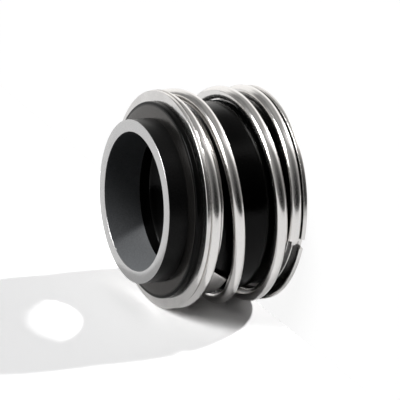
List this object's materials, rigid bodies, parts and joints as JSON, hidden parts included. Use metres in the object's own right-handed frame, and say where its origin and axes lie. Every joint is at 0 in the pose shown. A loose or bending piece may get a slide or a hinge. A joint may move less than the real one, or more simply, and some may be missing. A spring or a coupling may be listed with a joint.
{
  "type": "component mechanical seal",
  "caption": "Rotating half of a shaft seal: carbon face ring in a rubber bellows, loaded by a coil spring between two pressed steel collars.",
  "frame": {"origin": "on the shaft axis, in the plane of the rear collar's outer face, on which the seal stands", "axes": "+Z along the shaft axis towards the sealing face; +X is a radial direction"},
  "size_m": [0.0494, 0.0494, 0.0307],
  "materials": {
    "carbon": "satin",
    "rubber": "gloss",
    "sheet_steel": "polished",
    "spring_wire": "polished"
  },
  "bodies": {
    "drive_end": {"rear_collar": "sheet_steel", "bellows": "rubber", "spring": "spring_wire"},
    "face_end": {"face_ring": "carbon", "front_collar": "sheet_steel"}
  },
  "joints": [
    {"name": "face_float", "type": "slide", "parent": "drive_end", "child": "face_end", "axis": [0, 0, 1], "range_m": [-0.0042, 0], "stiffness_N_per_m": 3400, "deforming": ["spring", "bellows"]}
  ]
}
